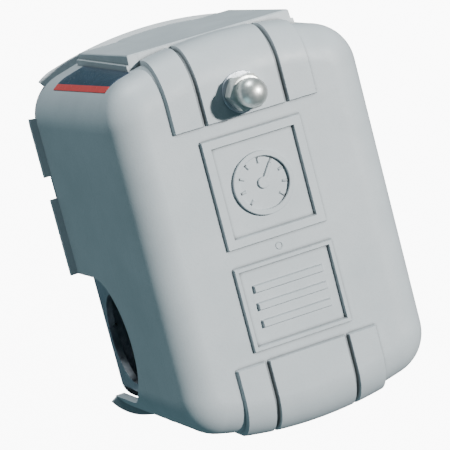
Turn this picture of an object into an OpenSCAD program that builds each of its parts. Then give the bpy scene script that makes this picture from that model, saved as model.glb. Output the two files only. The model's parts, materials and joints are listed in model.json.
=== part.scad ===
// Water-pump pressure switch: moulded cover over a sprung lever mechanism on a steel base.
// +Z is the axis of the pressure port and points out of the cover's front face,
// +Y points to the range-spring end, and the origin is the centre of the port's mouth.

/* [Case] */
// Width across the side walls at the rim
case_w = 65.8; // [62:0.2:82]
// Length over the end walls at the rim
case_l = 90.6; // [88:0.2:112]
// Depth from the front face to the rim
case_d = 55; // [55:0.5:70]
// Thickness of the moulded walls
case_wall = 2.0; // [1.2:0.1:2.2]
// How far each side wall leans in between the rim and the rounded edge
draft_w = 2.2; // [0:0.1:2.4]
// How far each end wall leans in between the rim and the rounded edge
draft_l = 1.0; // [0:0.1:1.5]
// Radius of the rounded front edge
front_round = 8.5; // [4:0.5:9]
// Radius of the upright corners
corner_r = 10.4; // [10:0.2:12]
// Radius of the slight bow of the end walls
bow_r = 90; // [80:5:200]
// How far the middle of the case lies from the port axis, towards the wiring end
case_shift = 7; // [6.5:0.1:7.5]

/* [Bands and plaques] */
// Width of the raised bands
band_w = 34.2; // [28:0.2:38]
// Distance from the middle of the case to each band
band_start = 27.1; // [25:0.1:30]
// Height of the bands above the case
band_h = 1.1; // [0.6:0.1:1.6]
// Distance from the centre line to each groove between the band panels
groove_x = 9.8; // [7:0.1:12]
// Width of those grooves
groove_w = 1.3; // [0.8:0.1:2]
// Width of the flat pad on the range-spring end wall
pad_w = 39.2; // [30:0.2:42]
// How far the pad stands out from the top of the end wall's bow
pad_h = 1.0; // [0.6:0.1:1.4]
// Depth of the pad's upper edge below the front face
pad_drop = 11; // [9:0.5:14]
// Width of the two framed plaques
plaque_w = 23.9; // [18:0.1:28]
// Height of the plaque frames above the face
plaque_h = 0.5; // [0.3:0.1:0.8]
// Width of the plaque frames
plaque_frame = 2.1; // [1:0.1:3]

/* [Rim flange] */
// How far the rim flange stands out
flange_out = 1.7; // [1:0.1:2]
// Thickness of the rim flange
flange_t = 1.2; // [0.8:0.1:2]

/* [Base] */
// Thickness of the steel sheet
sheet = 1.6; // [1.2:0.1:2]
// Gap between the base and the inside of the case
base_gap = 0.7; // [0.4:0.1:1]
// Diameter of the conduit holes in the ears
conduit_d = 22.2; // [18:0.1:22.6]
// Steel left between a conduit hole and the floor of the base
conduit_edge = 0.7; // [0.5:0.1:1.5]
// Steel left between a conduit hole and the ear's far end
conduit_end = 2.2; // [1.5:0.1:3]
// Steel left above a conduit hole
ear_top = 5.5; // [4:0.5:7]
// Length of the ears
ear_l = 30.2; // [29:0.2:32]
// Gap between a conduit fitting and the edge of its arch in the case
arch_gap = 4.6; // [3:0.1:5]

/* [Pressure port] */
// Bore of the port, the tapping size of a quarter-inch pipe thread
port_bore = 11.1; // [9:0.1:12]
// Depth of the port's bore
port_depth = 10.5; // [8:0.5:12]
// Width across the flats of the port's hexagon
port_af = 22.2; // [19:0.1:26]
// Diameter of the diaphragm housing
housing_d = 46; // [45:0.5:50]
// Thickness of the housing's lower half
flange_h = 6; // [5:0.5:8]
// Thickness of the diaphragm
diaphragm_t = 1.2; // [0.8:0.1:2]
// Thickness of the housing's upper half
guide_h = 5.2; // [5:0.1:7]
// Diameter of the circle of housing screws
screw_pcd = 38; // [37:0.5:40]
// Diameter of the housing screws
housing_screw_d = 4; // [3:0.5:5]

/* [Lever] */
// Diameter of the piston's stem
piston_d = 10; // [7:0.5:11]
// Distance from the port axis to the lever's pivot
lever_arm = 10; // [10:0.1:10.6]
// Height of the pivot above the floor of the base
pivot_h = 5; // [4.5:0.1:5.6]
// Height of the underside of the lever above the floor of the base
lever_h = 9; // [8.6:0.1:9.6]
// Diameter of the lever's pin
lever_pin_d = 4; // [3:0.1:4.2]
// Width across the lever's side flanges
lever_w = 41.2; // [40:0.2:42]

/* [Springs and studs] */
// Distance from the port axis to the range stud
range_y = 25.2; // [24:0.1:26]
// Diameter of the range stud
range_stud_d = 6.35; // [5:0.05:7]
// Diameter of the stud's tip, which carries the cover nut
tip_d = 4.17; // [3:0.01:4.8]
// Outside diameter of the range spring
range_spring_d = 16.4; // [13:0.1:18]
// Wire diameter of the range spring
range_wire = 2.1; // [1.4:0.1:2.4]
// Length of the range spring
range_spring_l = 26; // [24:0.2:31.2]
// Place of the differential stud, across and along
diff_x = -12.5; // [-13:0.1:-11]
// Distance from the port axis to the differential stud
diff_y = 9.5; // [9:0.1:11]
// Diameter of the differential stud
diff_stud_d = 4.83; // [4:0.01:5]
// Outside diameter of the differential spring
diff_spring_d = 10.4; // [9:0.1:11]
// Wire diameter of the differential spring
diff_wire = 1.3; // [0.9:0.1:1.6]
// Length of the differential spring
diff_spring_l = 15; // [12:0.5:18]

/* [Contacts] */
// Distance between neighbouring terminals
terminal_pitch = 11; // [10:0.1:11]
// Height of the shelf's top above the floor of the base
shelf_h = 29; // [29:0.5:32]
// Thickness of the contact block
block_h = 11; // [9:0.5:12]
// Gap between the fixed and moving contacts at rest
contact_touch = 0.05; // [0.02:0.01:0.1]
// Diameter of the carrier's pin
carrier_pin_d = 3; // [2:0.1:3.4]

/* [Cover nut] */
// Width across the flats of the domed nut
cap_af = 7.94; // [7:0.01:10]
// Height of the domed nut
cap_h = 10; // [9:0.5:12]

/* [Fits] */
// Radial clearance of a pin or stud that turns or slides in its hole
running = 0.05; // [0.02:0.01:0.09]
// Radial clearance of a fastener in a plain hole
loose = 0.3; // [0.2:0.05:0.5]

/* [Hidden] */
$fn = 48;

// Overshoot that keeps cutting faces clear of the faces they cut
over = 1;

// Heights, stacked up from the port's mouth
hex_h = port_depth + 0.5;
diaphragm_z = hex_h + flange_h;
guide_z = diaphragm_z + diaphragm_t;
base_z = guide_z + guide_h;
floor_z = base_z + sheet;
rim_z = floor_z;
front_z = rim_z + case_d;
shoulder_z = front_z - front_round;

// Case
case_y = -case_shift;
slice_t = 0.01;
round_steps = 6;
corner_steps = 8;
bow_steps = 10;
function lean(z) = min(1, max(0, (z - rim_z) / (shoulder_z - rim_z)));
function half_w(z) = case_w / 2 - draft_w * lean(z);
function half_l(z) = case_l / 2 - draft_l * lean(z);
// How far the centre of a corner's arc lies from the middle of the case at height z
function corner_y(z) =
    half_l(z) - bow_r + sqrt(pow(bow_r - corner_r, 2) - pow(half_w(z) - corner_r, 2));
// Height at which a point on an end wall stops being hidden by the rim flange
band_foot = rim_z + 4;
arch_r = conduit_d / 2 + arch_gap;
// The arches' centre lies a little past and above the conduit holes
arch_dy = 0.7;
arch_dz = 0.3;
// Gaps in the rim flange along each side, from the middle of the case
flange_gaps = [[33.4, 39.8], [13.7, 19.2]];
// Ends of the two plaques, from the middle of the case
upper_plaque = [-1.0, 23.8];
lower_plaque = [-24.5, -5.3];
dimple_y = (upper_plaque[0] + lower_plaque[1]) / 2;
washer_r = 4.6;
washer_t = 0.8;
dial_ring = 1.2;
dial_hub_r = 1.3;
needle_w = 1;
needle_turn = -35;
rib_pitch = 4;
rib_w = 1.6;
dimple_r = 0.7;
dimple_h = 0.4;

// Base
conduit_z = floor_z + conduit_edge + conduit_d / 2;
ear_z = conduit_z + conduit_d / 2 + ear_top;
ear_r = 10;
base_half = half_w(ear_z) - case_wall - base_gap;
base_end = case_l / 2 - case_wall - base_gap;
base_corner = 5;
// How far the ears run past the centres of the case's corners, and stay clear of them inside
ear_tuck = 3.29;
ear_far = corner_y(ear_z - ear_r) + ear_tuck;
ear_y = case_y - ear_far + ear_l / 2;
conduit_y = case_y - ear_far + conduit_end + conduit_d / 2;
wiring_end = case_y - base_end;

// Pressure housing
spigot_r = 8;
spigot_h = 3;
passage_r = 2.5;
chamber_r = 14;
chamber_h = 1.5;
head_r = 12;
head_h = 1.9;
head_play = 1;
crown_r = 1.2;
crown_h = 0.8;
screw_head_h = 3.6;
// Directions of the housing screws, clear of the studs and of the bracket's feet
screw_angles = [60, 120, 240, 300];
screw_recess = 0.2;

// Lever
pivot_y = -lever_arm;
pivot_z = floor_z + pivot_h;
lever_z = floor_z + lever_h;
lever_top = lever_z + sheet;
lever_end = range_y + 7;
lever_web = -6;
lug_gap = 0.4;
lug_x = lever_w / 2 + lug_gap;
lug_w = 8;
nose_w = 8;
nose_end = -21;
touch = 0.05;
clip_t = 0.6;
clip_r = 3.6;
pin_end = 0.6;

// Springs, seats and nuts
seat_t = 1.4;
seat_lip = 0.6;
lip_h = 1.5;
range_seat_z = lever_top + range_spring_l;
range_nut_z = range_seat_z + seat_t;
range_af = 11.1;
range_nut_h = 5.6;
diff_seat_z = lever_top + diff_spring_l;
diff_nut_z = diff_seat_z + seat_t;
diff_af = 9.5;
diff_nut_h = 4.4;
diff_top = diff_nut_z + diff_nut_h + 5;
stud_nut_h = 3.6;
cover_seat_z = front_z + band_h;
cap_z = cover_seat_z + washer_t;
cap_dome_r = 3.25;
cap_bore_h = 7.5;
tip_top = cap_z + cap_bore_h - 1;

// Contacts
shelf_z = floor_z + shelf_h;
shelf_x = 22.5;
upright_y = -16.4;
rear_y = wiring_end + 5;
window_x = 20.3;
leg_y = rear_y + 11;
// The shelf's window leaves room round the fixed contacts' legs and the moving contacts
window_y = [leg_y - 2.3, upright_y - 6];
foot_h = 1;
button_r = 1.8;
fixed_button_h = 0.9;
moving_button_h = 0.85;
bridge_t = 1;
contact_y = upright_y - 12.1;
moving_top = shelf_z - foot_h - fixed_button_h - contact_touch;
bridge_z = moving_top - moving_button_h - bridge_t;
bridge_spring_l = 2.6;
carrier_top = bridge_z - bridge_spring_l;
carrier_t = 3.2;
carrier_y = upright_y - 3.1;
carrier_z = carrier_top - carrier_t / 2;
carrier_hub_r = 3;
carrier_x = 19.6;
block_x = 23.4;
block_top = shelf_z + block_h;
block_back = upright_y + 0.9;
barrier_t = 1.4;
barrier_h = 4;
tab_t = 1.2;
tab_w = 8.4;
leg_w = 5.6;
tab_y = rear_y + 1;
clamp_t = 1.2;
terminal_y = (tab_y + leg_y) / 2;
terminals = [-1.5, -0.5, 0.5, 1.5];
poles = [-1, 1];
block_screw_y = block_back - 2;
rivet_head_r = 2.4;
rivet_head_h = 1;
rivet_r = 1.5;
rivet_tail = 0.5;
front_rivets = [13, pivot_y - 0.5];
rear_rivets = [6, rear_y + 4.5];
front_foot_x = [8, 17.6];
front_foot_y = pivot_y + 3.5;
rear_foot = [10, rear_y + 8];
foot_gap = 4;
cheek_y = carrier_y - 3.5;
cheek_z = carrier_z - 4;
block_screw_r = 1.6;
block_screw_head = [3, 2.2];
terminal_screw_r = 1.8;
terminal_screw_head = [3.4, 2];
terminal_screw_l = 6;
terminal_hole_l = 7;
clamp_half = 3.8;
slot_gap = 0.1;
ground_x = 18;
ground_y = rear_y + 2.9;
ground_shank_r = 1.9;
ground_washer = [4.2, 0.8];
ground_af = 7.9;
ground_head_h = 2.6;

// Colours
grey = [0.74, 0.77, 0.79];
zinc = [0.72, 0.73, 0.75];
steel = [0.58, 0.60, 0.63];
black = [0.10, 0.10, 0.11];
brass = [0.80, 0.66, 0.35];
silver = [0.86, 0.86, 0.88];

// Points along an arc about (cx, cy), from the angle a0 to a1, without the first point
function arc_points(cx, cy, r, a0, a1, n) = [
    for (i = [1:n])
        let (a = a0 + (a1 - a0) * i / n) [cx + r * cos(a), cy + r * sin(a)]
];

// Rectangle of half width a and half length b, with bowed ends and round corners
function bowed_outline(a, b, rb, rc) =
    let (
        cx = a - rc,
        cy = b - rb + sqrt(pow(rb - rc, 2) - pow(cx, 2)),
        t = atan2(cy - (b - rb), cx)
    ) concat(
        [[a, cy]],
        arc_points(cx, cy, rc, 0, t, corner_steps),
        arc_points(0, b - rb, rb, t, 180 - t, bow_steps),
        arc_points(-cx, cy, rc, 180 - t, 180, corner_steps),
        [[-a, -cy]],
        arc_points(-cx, -cy, rc, 180, 180 + t, corner_steps),
        arc_points(0, rb - b, rb, 180 + t, 360 - t, bow_steps),
        arc_points(cx, -cy, rc, 360 - t, 360, corner_steps)
    );

// The case's outline at height z, grown outwards, or pulled in by inset at the rounded edge
module case_outline(z, grow = 0, inset = 0) {
    d = grow - inset;
    translate([0, case_y])
        polygon(bowed_outline(half_w(z) + d, half_l(z) + d, bow_r + d, corner_r + d));
}

// The whole case as a closed form, grown outwards, from the height bottom upwards
module case_form(grow, bottom) {
    r = front_round + grow;
    hull() {
        translate([0, 0, bottom])
            linear_extrude(slice_t)
                case_outline(bottom, grow);
        for (i = [0:round_steps]) {
            a = 90 * i / round_steps;
            translate([0, 0, shoulder_z + r * sin(a) - slice_t])
                linear_extrude(slice_t)
                    case_outline(shoulder_z, grow, r * (1 - cos(a)));
        }
    }
}

// Box from its lowest to its highest corner
module block(low, high) {
    translate(low)
        cube(high - low);
}

// Upright cylinder standing at z
module post(x, y, z, r, h) {
    translate([x, y, z])
        cylinder(r = r, h = h);
}

// Round bar along X, centred on x = 0
module cross_bar(y, z, r, length) {
    translate([-length / 2, y, z])
        rotate([0, 90, 0])
            cylinder(r = r, h = length);
}

// Hexagonal prism with its width across the flats
module hex_prism(x, y, z, af, h) {
    translate([x, y, z])
        rotate([0, 0, 30])
            cylinder(d = af / cos(30), h = h, $fn = 6);
}

// Hexagonal nut with a round-cornered top and a plain bore
module hex_nut(x, y, z, af, h, bore_r) {
    bevel = 0.13 * af;
    difference() {
        intersection() {
            hex_prism(x, y, z, af, h);
            translate([x, y, z])
                rotate_extrude()
                    polygon([
                        [0, 0], [af, 0], [af, h - bevel],
                        [af / 2 - 0.05 * af, h], [0, h]
                    ]);
        }
        post(x, y, z - over, bore_r, h + 2 * over);
    }
}

// Closed-form coil spring: a tube with one bead for each turn
module coil_stack(x, y, z, outer_r, wire, length, turns) {
    core = 0.3 * wire;
    mid_r = outer_r - wire / 2;
    step = (length - wire) / turns;
    translate([x, y, z])
        union() {
            difference() {
                cylinder(r = mid_r + core, h = length);
                translate([0, 0, -over])
                    cylinder(r = mid_r - core, h = length + 2 * over);
            }
            for (i = [0:turns])
                translate([0, 0, wire / 2 + i * step])
                    rotate_extrude()
                        translate([mid_r, 0])
                            circle(d = wire, $fn = 16);
        }
}

// Spring seat: a disc with a lip round the spring's top
module spring_seat(x, y, z, spring_d, stud_d) {
    outer_r = spring_d / 2 + 2 * seat_lip;
    difference() {
        post(x, y, z - lip_h, outer_r, seat_t + lip_h);
        post(x, y, z - lip_h - over, spring_d / 2 + loose, lip_h + over);
        post(x, y, z - over, stud_d / 2 + running, seat_t + 2 * over);
    }
}

// Screw with a slotted round head that stands on z
module round_screw(x, y, z, head_radius, head_height, shank_r, shank_l) {
    slot = 0.24 * head_radius;
    difference() {
        union() {
            post(x, y, z, head_radius, head_height);
            post(x, y, z - shank_l, shank_r, shank_l + over / 2);
        }
        block([x - slot, y - 2 * head_radius, z + head_height * 0.55],
              [x + slot, y + 2 * head_radius, z + head_height + over]);
    }
}

module band_panels() {
    panel_edges = [
        [-band_w / 2, -groove_x - groove_w / 2],
        [-groove_x + groove_w / 2, groove_x - groove_w / 2],
        [groove_x + groove_w / 2, band_w / 2]
    ];
    intersection() {
        case_form(band_h, band_foot);
        for (side = [-1, 1], edge = panel_edges) {
            y_in = case_y + side * band_start;
            y_out = case_y + side * case_l;
            block([edge[0], min(y_in, y_out), band_foot - over],
                  [edge[1], max(y_in, y_out), front_z + band_h + over]);
        }
    }
}

module end_pad() {
    block([-pad_w / 2, case_y + band_start, band_foot],
          [pad_w / 2, case_y + half_l(shoulder_z) + pad_h, front_z - pad_drop]);
}

module rim_flange() {
    translate([0, 0, rim_z])
        linear_extrude(flange_t)
            difference() {
                case_outline(rim_z, flange_out);
                for (side = [-1, 1], gap = flange_gaps)
                    translate([side * case_w, case_y + (gap[0] + gap[1]) / 2])
                        square([case_w + 0.1, gap[1] - gap[0]], center = true);
            }
}

module plaque_frame_at(ends) {
    translate([0, case_y, front_z - over])
        linear_extrude(plaque_h + over)
            difference() {
                translate([-plaque_w / 2, ends[0]])
                    square([plaque_w, ends[1] - ends[0]]);
                translate([-plaque_w / 2 + plaque_frame, ends[0] + plaque_frame])
                    square([plaque_w - 2 * plaque_frame,
                            ends[1] - ends[0] - 2 * plaque_frame]);
            }
}

// Plain gauge dial: a ring, a hub and a needle
module gauge_emblem() {
    y = case_y + (upper_plaque[0] + upper_plaque[1]) / 2;
    dial_r = plaque_w * 0.3;
    difference() {
        post(0, y, front_z - over, dial_r, plaque_h + over);
        post(0, y, front_z - 2 * over, dial_r - dial_ring, plaque_h + 3 * over);
    }
    post(0, y, front_z - over, dial_hub_r, plaque_h + over);
    translate([0, y, front_z - over])
        rotate([0, 0, needle_turn])
            block([-needle_w / 2, 0, 0], [needle_w / 2, dial_r - 2, plaque_h + over]);
}

module plaque_ribs() {
    inner = plaque_w / 2 - plaque_frame - 1.5;
    middle = case_y + (lower_plaque[0] + lower_plaque[1]) / 2;
    for (i = [-1:1])
        block([-inner, middle + rib_pitch * i - rib_w / 2, front_z - over],
              [inner, middle + rib_pitch * i + rib_w / 2, front_z + plaque_h]);
}

module conduit_arches() {
    y = conduit_y + arch_dy;
    z = conduit_z + arch_dz;
    cross_bar(y, z, arch_r, 2 * case_w);
    block([-case_w, y - arch_r, rim_z - over], [case_w, y + arch_r, z]);
}

module cover() {
    color(grey)
        difference() {
            union() {
                case_form(0, rim_z);
                band_panels();
                end_pad();
                rim_flange();
                plaque_frame_at(upper_plaque);
                plaque_frame_at(lower_plaque);
                gauge_emblem();
                plaque_ribs();
            }
            case_form(-case_wall, rim_z - over);
            conduit_arches();
            post(0, range_y, front_z - 10, tip_d / 2 + loose, 20);
            post(0, case_y + dimple_y, front_z - dimple_h, dimple_r, over);
        }
}

module cover_nut() {
    dome_base = cap_h - cap_dome_r;
    hex_h2 = 0.42 * cap_h;
    color(zinc)
        difference() {
            union() {
                hex_nut(0, range_y, cap_z, cap_af, hex_h2, tip_d / 4);
                translate([0, range_y, cap_z])
                    rotate_extrude()
                        union() {
                            square([cap_dome_r, dome_base]);
                            intersection() {
                                translate([0, dome_base])
                                    circle(r = cap_dome_r);
                                square([cap_dome_r + over, cap_h + over]);
                            }
                        }
            }
            post(0, range_y, cap_z - over, tip_d / 2 + running, cap_bore_h + over);
        }
}

module cover_washer() {
    color(steel)
        difference() {
            post(0, range_y, cover_seat_z, washer_r, washer_t);
            post(0, range_y, cover_seat_z - over, tip_d / 2 + loose, washer_t + 2 * over);
        }
}

// Thin label wrapped round one upright corner of the cover
module corner_label() {
    label_t = 0.25;
    glue_t = 0.03;
    label_l = 4.8;
    pad_gap = 2.5;
    low_edge = 9;
    high_edge = 3;
    low = [-case_w, case_y + half_l(shoulder_z) - label_l, rim_z + low_edge];
    high = [-pad_w / 2 - pad_gap, case_y + case_l, shoulder_z - high_edge];
    color("firebrick")
        intersection() {
            difference() {
                case_form(label_t, rim_z);
                case_form(glue_t, rim_z);
            }
            block(low, high);
        }
}

module base_floor() {
    difference() {
        translate([0, case_y, base_z])
            linear_extrude(sheet)
                polygon(bowed_outline(base_half, base_end, bow_r, base_corner));
        post(0, 0, base_z - over, piston_d / 2 + loose, sheet + 2 * over);
        housing_screw_holes(base_z, sheet);
        post(0, range_y, base_z - over, range_stud_d / 2 + running, sheet + 2 * over);
        post(diff_x, diff_y, base_z - over, diff_stud_d / 2 + running, sheet + 2 * over);
        rivet_places()
            post(0, 0, base_z - over, rivet_r + running, sheet + 2 * over);
        for (side = [-1, 1])
            post(side * ground_x, ground_y, base_z - over, ground_shank_r + running,
                 sheet + 2 * over);
    }
}

// Upturned ear with the conduit hole, on one side
module ear(side) {
    x = side * (base_half - sheet / 2);
    translate([x, 0, 0])
        difference() {
            union() {
                block([-sheet / 2, ear_y - ear_l / 2, base_z],
                      [sheet / 2, ear_y + ear_l / 2, ear_z - ear_r]);
                block([-sheet / 2, ear_y - ear_l / 2 + ear_r, base_z],
                      [sheet / 2, ear_y + ear_l / 2 - ear_r, ear_z]);
                for (end = [-1, 1])
                    cross_bar(ear_y + end * (ear_l / 2 - ear_r), ear_z - ear_r, ear_r, sheet);
            }
            cross_bar(conduit_y, conduit_z, conduit_d / 2, sheet + 2 * over);
        }
}

// Small upturned lug that carries one end of the lever's pin
module pin_lug(side) {
    x = side * (lug_x + sheet / 2);
    translate([x, 0, 0])
        difference() {
            union() {
                block([-sheet / 2, pivot_y - lug_w / 2, base_z],
                      [sheet / 2, pivot_y + lug_w / 2, pivot_z]);
                cross_bar(pivot_y, pivot_z, lug_w / 2, sheet);
            }
            cross_bar(pivot_y, pivot_z, lever_pin_d / 2 + running, sheet + 2 * over);
        }
}

module base_plate() {
    color(zinc)
        union() {
            base_floor();
            for (side = [-1, 1]) {
                ear(side);
                pin_lug(side);
            }
        }
}

module port_fitting() {
    chamfer = 1.2;
    color(zinc)
        difference() {
            union() {
                intersection() {
                    hex_prism(0, 0, 0, port_af, hex_h);
                    rotate_extrude()
                        polygon([
                            [0, 0], [port_af / 2 - 0.6, 0], [port_af * 0.6, chamfer + 0.8],
                            [port_af * 0.6, hex_h - chamfer], [port_af / 2, hex_h], [0, hex_h]
                        ]);
                }
                post(0, 0, hex_h - over, spigot_r, spigot_h + over);
            }
            post(0, 0, -over, port_bore / 2, port_depth + over);
            post(0, 0, 0, passage_r, hex_h + spigot_h + over);
        }
}

// Holes for the four housing screws through a layer of the housing
module housing_screw_holes(z, h) {
    for (a = screw_angles)
        rotate([0, 0, a])
            post(screw_pcd / 2, 0, z - over, housing_screw_d / 2 + running, h + 2 * over);
}

module pressure_flange() {
    color(zinc)
        difference() {
            translate([0, 0, hex_h])
                rotate_extrude()
                    polygon([
                        [0, 0], [housing_d / 2 - 1.2, 0], [housing_d / 2, 1.2],
                        [housing_d / 2, flange_h], [0, flange_h]
                    ]);
            post(0, 0, hex_h - over, spigot_r + running, spigot_h + over);
            post(0, 0, hex_h, passage_r, flange_h + over);
            post(0, 0, diaphragm_z - chamber_h, chamber_r, chamber_h + over);
            housing_screw_holes(hex_h, flange_h);
        }
}

module diaphragm() {
    color(black)
        difference() {
            post(0, 0, diaphragm_z, housing_d / 2, diaphragm_t);
            housing_screw_holes(diaphragm_z, diaphragm_t);
        }
}

module piston_guide() {
    color(zinc)
        difference() {
            post(0, 0, guide_z, housing_d / 2, guide_h);
            post(0, 0, guide_z - over, head_r + loose, head_h + head_play + over);
            post(0, 0, guide_z, piston_d / 2 + running, guide_h + over);
            housing_screw_holes(guide_z, guide_h);
        }
}

module flange_screws() {
    head_radius = 3.2;
    socket = 3;
    color(steel)
        for (a = screw_angles)
            rotate([0, 0, a])
                difference() {
                    union() {
                        post(screw_pcd / 2, 0, hex_h - screw_head_h, head_radius, screw_head_h);
                        post(screw_pcd / 2, 0, hex_h - over, housing_screw_d / 2,
                             floor_z - hex_h + over - screw_recess);
                    }
                    hex_prism(screw_pcd / 2, 0, hex_h - screw_head_h - over, socket,
                              over + screw_head_h * 0.6);
                }
}

module piston() {
    stem_top = lever_z - touch - crown_h;
    color(brass)
        union() {
            post(0, 0, guide_z + touch, head_r, head_h);
            post(0, 0, guide_z + touch, piston_d / 2, stem_top - guide_z - touch);
            post(0, 0, stem_top - over, crown_r, crown_h + over);
        }
}

// Side flange of the lever, with the pivot hole
module lever_side(side) {
    x = side * (lever_w - sheet) / 2;
    translate([x, 0, 0])
        difference() {
            union() {
                cross_bar(pivot_y, pivot_z, lug_w / 2, sheet);
                block([-sheet / 2, pivot_y - lug_w / 2, pivot_z],
                      [sheet / 2, pivot_y + lug_w / 2, lever_top]);
                block([-sheet / 2, pivot_y, pivot_z - 1],
                      [sheet / 2, range_y - 6, lever_top]);
            }
            cross_bar(pivot_y, pivot_z, lever_pin_d / 2 + running, sheet + 2 * over);
        }
}

module lever() {
    stud_play = 1.6;
    end_r = 8;
    color(steel)
        difference() {
            union() {
                block([-lever_w / 2, lever_web, lever_z],
                      [lever_w / 2, lever_end - end_r, lever_top]);
                block([-lever_w / 2 + end_r, lever_web, lever_z],
                      [lever_w / 2 - end_r, lever_end, lever_top]);
                for (side = [-1, 1])
                    post(side * (lever_w / 2 - end_r), lever_end - end_r, lever_z, end_r, sheet);
                block([-nose_w / 2, nose_end, lever_z], [nose_w / 2, lever_web, lever_top]);
                for (side = [-1, 1])
                    lever_side(side);
            }
            post(0, range_y, lever_z - over, range_stud_d / 2 + stud_play, sheet + 2 * over);
            post(diff_x, diff_y, lever_z - over, diff_stud_d / 2 + stud_play,
                 sheet + 2 * over);
        }
}

module lever_pin() {
    color(silver)
        cross_bar(pivot_y, pivot_z, lever_pin_d / 2,
                  2 * (lug_x + sheet + touch + clip_t + pin_end));
}

module pin_clips() {
    color(steel)
        for (side = [-1, 1])
            translate([side * (lug_x + sheet + touch + clip_t / 2), 0, 0])
                difference() {
                    cross_bar(pivot_y, pivot_z, clip_r, clip_t);
                    cross_bar(pivot_y, pivot_z, lever_pin_d / 2 + running, clip_t + 2 * over);
                }
}

module range_stud() {
    shoulder_gap = 0.1;
    color(steel)
        union() {
            post(0, range_y, base_z, range_stud_d / 2,
                 front_z - case_wall - shoulder_gap - base_z);
            post(0, range_y, base_z, tip_d / 2, tip_top - base_z);
        }
}

module stud_nut() {
    color(zinc)
        hex_nut(0, range_y, floor_z, range_af, stud_nut_h, range_stud_d / 2 + running);
}

module range_spring() {
    color(silver)
        coil_stack(0, range_y, lever_top, range_spring_d / 2, range_wire, range_spring_l, 6);
}

module range_seat() {
    color(zinc)
        spring_seat(0, range_y, range_seat_z, range_spring_d, range_stud_d);
}

module range_nut() {
    color(brass)
        hex_nut(0, range_y, range_nut_z, range_af, range_nut_h, range_stud_d / 2 + running);
}

module diff_stud() {
    color(steel)
        post(diff_x, diff_y, base_z, diff_stud_d / 2, diff_top - base_z);
}

module diff_spring() {
    color(silver)
        coil_stack(diff_x, diff_y, lever_top, diff_spring_d / 2, diff_wire, diff_spring_l, 6);
}

module diff_seat() {
    color(zinc)
        spring_seat(diff_x, diff_y, diff_seat_z, diff_spring_d, diff_stud_d);
}

module diff_nut() {
    color(brass)
        hex_nut(diff_x, diff_y, diff_nut_z, diff_af, diff_nut_h, diff_stud_d / 2 + running);
}

// Repeats its children at the feet of the contact bracket
module rivet_places() {
    for (side = [-1, 1], place = [front_rivets, rear_rivets])
        translate([side * place[0], place[1], 0])
            children();
}

module contact_bracket() {
    rear_x = rear_foot[0];
    color(zinc)
        difference() {
            union() {
                // upright and front feet
                block([-shelf_x, upright_y, floor_z + foot_gap],
                      [shelf_x, upright_y + sheet, shelf_z]);
                block([-front_foot_x[1], upright_y, floor_z],
                      [front_foot_x[1], upright_y + sheet, floor_z + foot_gap + over]);
                for (side = [0, 1])
                    mirror([side, 0, 0])
                        block([front_foot_x[0], upright_y, floor_z],
                              [front_foot_x[1], front_foot_y, floor_z + sheet]);
                // shelf
                block([-shelf_x, rear_y, shelf_z - sheet], [shelf_x, upright_y, shelf_z]);
                // rear leg and foot
                block([-rear_x, rear_y, floor_z], [rear_x, rear_y + sheet, shelf_z]);
                block([-rear_x, rear_y, floor_z], [rear_x, rear_foot[1], floor_z + sheet]);
                // cheeks that carry the carrier's pin
                for (side = [0, 1])
                    mirror([side, 0, 0])
                        block([shelf_x - sheet, cheek_y, cheek_z],
                              [shelf_x, upright_y + sheet, shelf_z]);
            }
            // window for the contacts in the shelf
            block([-window_x, window_y[0], shelf_z - sheet - over],
                  [window_x, window_y[1], shelf_z + over]);
            // window for the lever's nose in the upright
            block([-nose_w / 2 - 2, upright_y - over, lever_z - 2],
                  [nose_w / 2 + 2, upright_y + sheet + over, lever_top + 3]);
            cross_bar(carrier_y, carrier_z, carrier_pin_d / 2 + running, 4 * shelf_x);
            rivet_places()
                post(0, 0, floor_z - over, rivet_r + running, sheet + 2 * over);
            for (x = [-terminal_pitch, terminal_pitch])
                post(x, block_screw_y, shelf_z - sheet - over, block_screw_r + running,
                     sheet + 2 * over);
        }
}

module bracket_rivets() {
    color(steel)
        rivet_places()
            union() {
                post(0, 0, floor_z + sheet, rivet_head_r, rivet_head_h);
                post(0, 0, base_z, rivet_r, 2 * sheet + rivet_tail);
            }
}

module contact_block() {
    color(black)
        difference() {
            union() {
                block([-block_x, rear_y, shelf_z], [block_x, block_back, block_top]);
                for (i = [-2:2])
                    block([i * terminal_pitch - barrier_t / 2, rear_y, block_top - over],
                          [i * terminal_pitch + barrier_t / 2, leg_y - 1,
                           block_top + barrier_h]);
                block([-block_x, leg_y + 2.2, block_top - over],
                      [block_x, leg_y + 2.2 + barrier_t, block_top + barrier_h - 1.5]);
            }
            for (t = terminals) {
                x = t * terminal_pitch;
                block([x - leg_w / 2 - slot_gap, leg_y - slot_gap, shelf_z - over],
                      [x + leg_w / 2 + slot_gap, leg_y + tab_t + slot_gap, block_top + over]);
                post(x, terminal_y, block_top - terminal_hole_l, terminal_screw_r + running,
                     terminal_hole_l + over);
            }
            for (x = [-terminal_pitch, terminal_pitch])
                post(x, block_screw_y, shelf_z - over, block_screw_r + running,
                     block_h + 2 * over);
        }
}

module block_screws() {
    color(steel)
        for (x = [-terminal_pitch, terminal_pitch])
            round_screw(x, block_screw_y, block_top, block_screw_head[0], block_screw_head[1],
                        block_screw_r, block_h + sheet);
}

module fixed_contact(x) {
    block([x - tab_w / 2, tab_y, block_top], [x + tab_w / 2, leg_y + tab_t, block_top + tab_t]);
    block([x - leg_w / 2, leg_y, shelf_z - foot_h], [x + leg_w / 2, leg_y + tab_t,
                                                     block_top + tab_t]);
    block([x - leg_w / 2, leg_y, shelf_z - foot_h], [x + leg_w / 2, contact_y + 3, shelf_z]);
    post(x, contact_y, shelf_z - foot_h - fixed_button_h, button_r, fixed_button_h + 0.5);
}

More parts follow.
